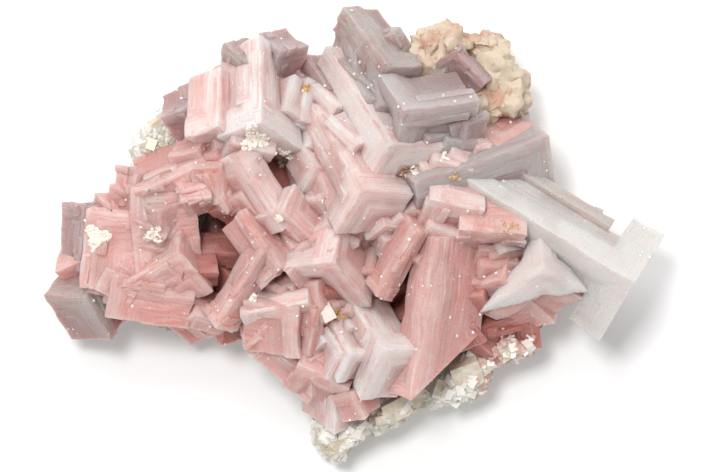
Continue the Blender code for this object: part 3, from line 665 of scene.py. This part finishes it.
# All crystals are joined into one closed solid
crown = bpy.data.collections.new("crown")
bpy.context.scene.collection.children.link(crown)
bpy.context.scene.collection.objects.link(grown[0])
for other in grown[1:]:
    crown.objects.link(other)
union = grown[0].modifiers.new("grown_together", "BOOLEAN")
union.operation = "UNION"
union.operand_type = "COLLECTION"
union.collection = crown
union.solver = "MANIFOLD"
joined = bpy.data.meshes.new_from_object(grown[0].evaluated_get(bpy.context.evaluated_depsgraph_get()))
for mesh in [crystal_object.data for crystal_object in grown]:
    bpy.data.meshes.remove(mesh)
bpy.data.collections.remove(crown)
crystals = bmesh.new()
crystals.from_mesh(joined)
bpy.data.meshes.remove(joined)

# Pink hopper halite: milky salt, pinker the more algae it holds. It is palest on the rims. The deeper pink
# painted in its pits, in a thin line along the ridges and low in the cluster is painted shade. Damp air
# has dulled its faces to satin.
LINE_SPACING = 0.5  # mm, between the growth lines
STEP_WIDTHS = (2.222, 0.6667)  # mm, of the blocks that the faces grew in
CLOUD_WIDTH, GLASSY_WIDTH = 4.348, 9.091  # mm, of the milky clouds and of the glassy patches
# The white specks are painted glints.
GLINT_SPACING, ETCHING = 0.6667, 0.3846  # mm, between white specks, and width of the damp air's marks
ALGAE_LEVEL = -1.9  # brings the sum of the algae's shares down to the usual pink
PASSED = (0.9, 0.66, 0.64)  # shares of red, green and blue that one measure of algae lets through
SATIN = (0.25, 0.5)  # roughness
# The third colour is painted shade for the deeper pits, and the last is painted glints as small white dots.
GLASSY_TINT, FROST_TINT, PIT_SHADE_TINT, GLINT_TINT = "#B7A9A7", "#F3E9E6", "#9C9190", "#FBF6F3"
rose_halite = bpy.data.materials.new("pink_hopper_halite")
rose_halite.use_nodes = True
tree = rose_halite.node_tree
shader = tree.nodes["Principled BSDF"]
where = add(tree, "TexCoord").outputs["Object"]
height = add(tree, "SeparateXYZ", {0: where}).outputs[2]
growth = add(tree, "SeparateXYZ", {0: add(tree, "UVMap", uv_map="growth").outputs[0]})
tint = add(tree, "Attribute", attribute_name="tint")
pit = add(tree, "Attribute", attribute_name="pit")
pit_depth, algae, seed = add(tree, "SeparateXYZ", {0: pit.outputs["Vector"]}).outputs

# Growth lines run along the nearest edge, and are taken from another place for each crystal
from_edge = add(tree, "Math", {0: growth.outputs[0], 1: growth.outputs[1]}, operation="MINIMUM").outputs[0]
along = add(tree, "Math", {0: growth.outputs[0], 1: growth.outputs[1]}, operation="MAXIMUM").outputs[0]
slow_along = add(tree, "Math", {0: along, 1: 0.06}, operation="MULTIPLY").outputs[0]
apart = add(tree, "Math", {0: seed, 1: 60}, operation="MULTIPLY").outputs[0]
across = add(tree, "CombineXYZ", {0: from_edge, 1: slow_along, 2: apart}).outputs[0]
drawn_out = {"Vector": across, "Scale": 1 / LINE_SPACING, "Detail": 5, "Roughness": 0.7}
lines = add(tree, "TexNoise", drawn_out).outputs[0]

# Clouds, a thin line of painted shade along the ridges in patches, and the small steps that the faces grew
# in, which are stronger on pinker crystals
cloudy = {"Vector": where, "Scale": 1 / (CLOUD_WIDTH * MM), "Detail": 4, "Roughness": 0.6}
clouds = add(tree, "TexNoise", cloudy).outputs[0]
# Painted shade: a thin darker pink line along each edge, shown in patches set by the clouds
beside_edge = {0: from_edge, 1: 0.1, 2: 0.5, 3: 1, 4: 0}
ridge = add(tree, "MapRange", beside_edge, interpolation_type="SMOOTHSTEP").outputs[0]
ridge_shade_patches = add(tree, "MapRange", {0: clouds, 1: 0.4, 2: 0.6}, interpolation_type="SMOOTHSTEP").outputs[0]
ridge = add(tree, "Math", {0: ridge, 1: ridge_shade_patches}, operation="MULTIPLY").outputs[0]
faceted = add(tree, "CombineXYZ", {0: growth.outputs[0], 1: growth.outputs[1], 2: apart}).outputs[0]
facets = []
for width in STEP_WIDTHS:
    blocks = add(tree, "TexVoronoi", {"Vector": faceted, "Scale": 1 / width}, distance="CHEBYCHEV")
    facets.append(add(tree, "SeparateColor", {0: blocks.outputs["Color"]}).outputs[0])
rough_growth = add(tree, "MapRange", {0: algae, 1: 0.1, 2: 0.5, 3: 0.25, 4: 1}).outputs[0]
steps = add(tree, "Math", {0: facets[0], 1: 2.0, 2: facets[1]}, operation="MULTIPLY_ADD").outputs[0]
steps = add(tree, "Math", {0: steps, 1: rough_growth}, operation="MULTIPLY").outputs[0]

# How pink the salt is, from its algae and from painted shade past the rims, in the pits, along the
# ridges and low down, and what that lets through of each colour
# Painted shade: pinker past the rim and into the pit, and more so the deeper the pit
rim_out = add(tree, "Math", {0: pit.outputs["Alpha"], 1: 0.75}, operation="MULTIPLY").outputs[0]
rim_in = add(tree, "Math", {0: pit.outputs["Alpha"], 1: 1.25}, operation="MULTIPLY").outputs[0]
past_rim = {0: from_edge, 1: rim_out, 2: rim_in}
inside_rim_shade = add(tree, "MapRange", past_rim, interpolation_type="SMOOTHSTEP").outputs[0]
# Painted shade: pinker and darker low in the cluster, below 22 mm
low = add(tree, "MapRange", {0: height, 1: 22 * MM, 2: 6 * MM, 3: 0, 4: 1}).outputs[0]
# The ridge, past-rim, pit-depth and low shares are painted shade; the clouds, lines and steps are the
# salt's own colour
ALGAE_AND_SHADE_SHARES = (
    (ridge, 0.65), (inside_rim_shade, 0.5), (pit_depth, 0.3), (low, 0.8), (clouds, 1.4), (lines, 2.4), (steps, 0.12),
)
algae_and_shade = algae
for amount, weight in ALGAE_AND_SHADE_SHARES:
    algae_and_shade = add(tree, "Math", {0: amount, 1: weight, 2: algae_and_shade}, operation="MULTIPLY_ADD").outputs[0]
algae_and_shade = add(tree, "Math", {0: algae_and_shade, 1: ALGAE_LEVEL}, operation="ADD").outputs[0]
algae_and_shade = add(tree, "Math", {0: algae_and_shade, 1: 0.0}, operation="MAXIMUM").outputs[0]
passed = [add(tree, "Math", {0: share, 1: algae_and_shade}, operation="POWER").outputs[0] for share in PASSED]
algae_and_shade_colour = add(tree, "CombineColor", dict(enumerate(passed))).outputs[0]
salt_algae_and_shade = {0: 1, 6: tint.outputs["Color"], 7: algae_and_shade_colour}
body = add(tree, "Mix", salt_algae_and_shade, data_type="RGBA", blend_type="MULTIPLY").outputs[2]

# Glassy patches, frosted lines, painted shade in the deeper pits, and painted glints as small white dots
patches = add(tree, "TexNoise", {"Vector": where, "Scale": 1 / (GLASSY_WIDTH * MM), "Detail": 3}).outputs[0]
clearer = {0: patches, 1: 0.5, 2: 0.7, 4: 0.35}
glassy = add(tree, "MapRange", clearer, interpolation_type="SMOOTHSTEP").outputs[0]
body = add(tree, "Mix", {0: glassy, 6: body, 7: linear(GLASSY_TINT)}, data_type="RGBA").outputs[2]
frost_lines = add(tree, "MapRange", {0: lines, 1: 0.4, 2: 0.3, 4: 0.4}).outputs[0]
body = add(tree, "Mix", {0: frost_lines, 6: body, 7: linear(FROST_TINT)}, data_type="RGBA").outputs[2]
# Painted shade: the floors of the deeper pits in the clearer crystals turn grey
deep_pit_shade = add(tree, "Math", {0: pit_depth, 1: tint.outputs["Alpha"]}, operation="MULTIPLY").outputs[0]
deep_pit_shade = add(tree, "MapRange", {0: deep_pit_shade, 1: 0.08, 2: 0.5, 4: 0.75}).outputs[0]
body = add(tree, "Mix", {0: deep_pit_shade, 6: body, 7: linear(PIT_SHADE_TINT)}, data_type="RGBA").outputs[2]
# Painted glints: a few small white dots on the faces
glint_cells = add(tree, "TexVoronoi", {"Vector": where, "Scale": 1 / (GLINT_SPACING * MM)}, feature="F1")
glint_chosen = add(tree, "SeparateColor", {0: glint_cells.outputs["Color"]}).outputs[0]
glint_chosen = add(tree, "Math", {0: glint_chosen, 1: 0.95}, operation="GREATER_THAN").outputs[0]
glint_dot = add(tree, "MapRange", {0: glint_cells.outputs["Distance"], 1: 0.1, 2: 0.16, 3: 0.8, 4: 0}).outputs[0]
glint_dot = add(tree, "Math", {0: glint_dot, 1: glint_chosen}, operation="MULTIPLY").outputs[0]
body = add(tree, "Mix", {0: glint_dot, 6: body, 7: linear(GLINT_TINT)}, data_type="RGBA").outputs[2]
tree.links.new(body, shader.inputs["Base Color"])
tree.links.new(tint.outputs["Alpha"], shader.inputs["Transmission Weight"])

# Satin faces, with the lines and steps standing a little proud
fine = add(tree, "TexNoise", {"Vector": where, "Scale": 1 / (ETCHING * MM), "Detail": 2}).outputs[0]
rough = add(tree, "MapRange", {0: fine, 1: 0.3, 2: 0.7, 3: SATIN[0], 4: SATIN[1]}).outputs[0]
tree.links.new(rough, shader.inputs["Roughness"])
ledges = add(tree, "Math", {0: lines, 1: 3.0, 2: fine}, operation="MULTIPLY_ADD").outputs[0]
ledges = add(tree, "Math", {0: steps, 1: 1.5, 2: ledges}, operation="MULTIPLY_ADD").outputs[0]
bumps = add(tree, "Bump", {"Strength": 0.9, "Distance": 0.07 * MM, "Height": ledges}).outputs[0]
tree.links.new(bumps, shader.inputs["Normal"])
shader.inputs["IOR"].default_value = SALT_IOR
shader.inputs["Subsurface Weight"].default_value = 0.7
shader.inputs["Subsurface Radius"].default_value = (1, 0.6, 0.55)
shader.inputs["Subsurface Scale"].default_value = 5 * MM

# A copy in triangles, to set the late grains on: they lie on faces that look up at least a little
placing = crystals.copy()
bmesh.ops.triangulate(placing, faces=placing.faces)
placing.normal_update()
surface = BVHTree.FromBMesh(placing)
open_faces = [face for face in placing.faces if face.normal.z > 0.25]


# Late grains. The last brine to dry left small cubes of clean white salt on the crystals, most under
# 0.5 mm, with a few stained ochre and a few dark specks. They lie on the faces and stick to them.

LATE_GRAINS = 900
LATE_SIZES = (0.12, 0.16, 0.22, 0.35)  # mm
LATE_WHITE, LATE_OCHRE, LATE_BLACK, LATE_DUST = "#F6EBE0", "#C79A5C", "#2B2422", "#F1E7E2"
# Where they gather: x, y, radius in mm, how many, their usual size in mm, and colour
LATE_PATCHES = (
    (-42.8, -0.2, 1.7, 220, 0.4, LATE_WHITE), (-33.2, 0.2, 1.2, 90, 0.36, LATE_WHITE),
    (-16.5, 16.2, 1.9, 260, 0.4, LATE_WHITE), (-11.8, 13.2, 1.3, 110, 0.36, LATE_WHITE),
    (-8.0, 24.5, 0.8, 14, 0.35, LATE_OCHRE), (9.7, 11.0, 0.8, 12, 0.5, LATE_WHITE),
    (15.2, 13.0, 0.7, 9, 0.5, LATE_WHITE), (-2.7, -13.2, 1.0, 26, 0.4, LATE_OCHRE),
    (16.7, 9.7, 0.8, 14, 0.35, LATE_OCHRE), (8.5, 10.3, 1.0, 14, 0.35, LATE_OCHRE),
    (-12.3, 3.3, 0.3, 3, 0.9, LATE_WHITE), (-16.8, -10.5, 0.4, 4, 0.9, LATE_WHITE),
    (25.5, 1.0, 1.6, 30, 0.3, LATE_OCHRE), (-33.8, 7.5, 0.2, 3, 0.3, LATE_BLACK),
    (-18.2, 16.5, 0.2, 2, 0.3, LATE_BLACK), (-4.8, -15.0, 0.3, 5, 0.3, LATE_BLACK),
)
LATE_CUBE = (-4.5, -12.7, 2.2)  # the one large white cube: x, y and size in mm
BARE_PATCH = 6  # mm, how wide the places are that few grains lie on
scattered = []
for place, normal in spread(open_faces, LATE_GRAINS, rng):
    size = rng.choice(LATE_SIZES)
    if noise.noise(place / BARE_PATCH) > -0.1:
        scattered.append((place, size, linear(LATE_DUST)))
for x, y, radius, count, size, colour in LATE_PATCHES:
    for _ in range(count):
        around = rng.uniform(0, FULL_TURN)
        out = radius * math.sqrt(rng.random()) * (1 + 0.4 * math.sin(3 * around + x))
        above = Vector((x + out * math.cos(around), y + out * math.sin(around), 60))
        place = surface.ray_cast(above, Vector((0, 0, -1)))[0]
        if place:
            scattered.append((place, size * rng.uniform(0.5, 1.3), linear(colour)))
late = grain_heap(scattered, rng)
placing.free()
top = surface.ray_cast(Vector((*LATE_CUBE[:2], 60)), Vector((0, 0, -1)))[0]
turned = Matrix.Rotation(0.5, 4, "Z") @ Matrix.Rotation(0.5, 4, "X")
cube = bmesh.ops.create_cube(late, size=LATE_CUBE[2], matrix=Matrix.Translation(top) @ turned)["verts"]
for loop in (loop for vert in cube for loop in vert.link_loops):
    loop[late.loops.layers.float_color["tint"]] = linear(LATE_WHITE)

finish_piece("hopper_crystals", crystals, rose_halite, "pink_halite_crystals", 25)
finish_piece("late_salt_grains", late, salt_grain, "pink_halite_crystals", 20)


# Cream crust. A patch of dull evaporite crust, carbonate and clay with salt, that dried on in knobs and
# hollows at the far edge. Iron stains it orange and brown.

CREAM_OUTLINE = (
    (27.8, 20.5), (27.8, 25.2), (26.8, 27.2), (25.2, 29.9), (23.9, 32.8), (21.5, 33.2), (19, 32.6),
    (17.2, 34.4), (14.3, 34.3), (11.7, 33.2), (9.6, 30.6), (10, 25), (15, 20.5), (21, 18),
)
CREAM_FLOOR, CREAM_TOP = 8.6, 21.0  # mm
CREAM_PITCH = 0.6  # mm, width of its slices
CREAM_BUMPS = ((4.3, 2.0), (1.9, 1.5), (0.9, 0.7))  # mm, size and depth
CREAM_KNOBS = (  # x, y, height above or below the usual top and radius, in mm
    (21.8, 20.6, 1.8, 1.5), (23.5, 28.5, 2.0, 2.6), (17.5, 32.5, 2.2, 2.2), (12.5, 32.0, 1.6, 1.8),
    (26, 23, 1.5, 2.0),
)
cream = crust_block(CREAM_OUTLINE, CREAM_FLOOR, CREAM_TOP, CREAM_PITCH, CREAM_KNOBS)
roughen(cream, CREAM_FLOOR, CREAM_BUMPS)

# Dried carbonate crust: a fine-grained crust in knobs, quite matt. Iron stains are some 5 mm wide, and
# brown spots 1.4 mm.
cream_crust = bpy.data.materials.new("dried_carbonate_crust")
cream_crust.use_nodes = True
tree = cream_crust.node_tree
shader = tree.nodes["Principled BSDF"]
where = add(tree, "TexCoord").outputs["Object"]
stains = {"Vector": where, "Scale": 1 / (5.263 * MM), "Detail": 5, "Roughness": 0.6}
zones = add(tree, "TexNoise", stains).outputs[0]
spots = add(tree, "TexNoise", {"Vector": where, "Scale": 1 / (1.4286 * MM), "Detail": 4}).outputs[0]
iron = add(tree, "MapRange", {0: zones, 1: 0.5, 2: 0.68}, interpolation_type="SMOOTHSTEP").outputs[0]
body = add(tree, "Mix", {0: iron, 6: linear("#CDBDA8"), 7: linear("#C49C88")}, data_type="RGBA").outputs[2]
brown = add(tree, "MapRange", {0: spots, 1: 0.58, 2: 0.72, 4: 0.7}).outputs[0]
body = add(tree, "Mix", {0: brown, 6: body, 7: linear("#A9805A")}, data_type="RGBA").outputs[2]
tree.links.new(body, shader.inputs["Base Color"])
bumps = add(tree, "Bump", {"Strength": 0.8, "Distance": 0.3 * MM, "Height": spots}).outputs[0]
tree.links.new(bumps, shader.inputs["Normal"])
rough = add(tree, "MapRange", {0: spots, 3: 0.65, 4: 0.95}).outputs[0]
tree.links.new(rough, shader.inputs["Roughness"])
shader.inputs["Subsurface Weight"].default_value = 0.15
shader.inputs["Subsurface Radius"].default_value = (1, 0.7, 0.4)
shader.inputs["Subsurface Scale"].default_value = 1 * MM
finish_piece("cream_crust_knobs", cream, cream_crust, "cream_evaporite_crust", 50)


# Table, lights and camera. A white painted table under two broad soft lamps, seen from straight above
# through a long lens, as the cluster was photographed.

TABLE_HALF = 3  # metres, half its width
table_mesh = bpy.data.meshes.new("white_table")
bm = bmesh.new()
bmesh.ops.create_grid(bm, x_segments=1, y_segments=1, size=TABLE_HALF)
bm.to_mesh(table_mesh)
bm.free()
table = bpy.data.objects.new("white_table", table_mesh)
bpy.context.scene.collection.objects.link(table)
painted = bpy.data.materials.new("white_painted_board")
painted.use_nodes = True
painted.node_tree.nodes["Principled BSDF"].inputs["Base Color"].default_value = linear("#F7F7F7")
painted.node_tree.nodes["Principled BSDF"].inputs["Roughness"].default_value = 0.8
table_mesh.materials.append(painted)

LAMPS = (  # name, place and size in metres, watts
    ("window_lamp", (-0.12, 0.55, 0.75), 0.4, 3.4),
    ("overhead_lamp", (-0.24, 0.28, 1.5), 0.3, 13.0),
)
for name, place, size, watts in LAMPS:
    lamp = bpy.data.lights.new(name, "AREA")
    lamp.size = size
    lamp.energy = watts
    holder = bpy.data.objects.new(name, lamp)
    holder.location = place
    holder.rotation_euler = (-Vector(place)).to_track_quat("-Z", "Y").to_euler()
    bpy.context.scene.collection.objects.link(holder)

studio = bpy.data.worlds.new("white_room")
studio.use_nodes = True
studio.node_tree.nodes["Background"].inputs["Color"].default_value = (1, 1, 1, 1)
studio.node_tree.nodes["Background"].inputs["Strength"].default_value = 0.6
bpy.context.scene.world = studio
bpy.context.scene.view_settings.view_transform = "Standard"

CAMERA_FRAME = 118.0  # mm, width of the picture at the focus height
FOCUS_HEIGHT = 20.0  # mm
LENS, SENSOR = 400, 36  # mm
camera = bpy.data.objects.new("camera", bpy.data.cameras.new("camera"))
camera.data.lens = LENS
camera.data.sensor_width = SENSOR
camera.location = (MIDDLE.x * MM, MIDDLE.y * MM, (FOCUS_HEIGHT + CAMERA_FRAME * LENS / SENSOR) * MM)
bpy.context.scene.collection.objects.link(camera)
bpy.context.scene.camera = camera
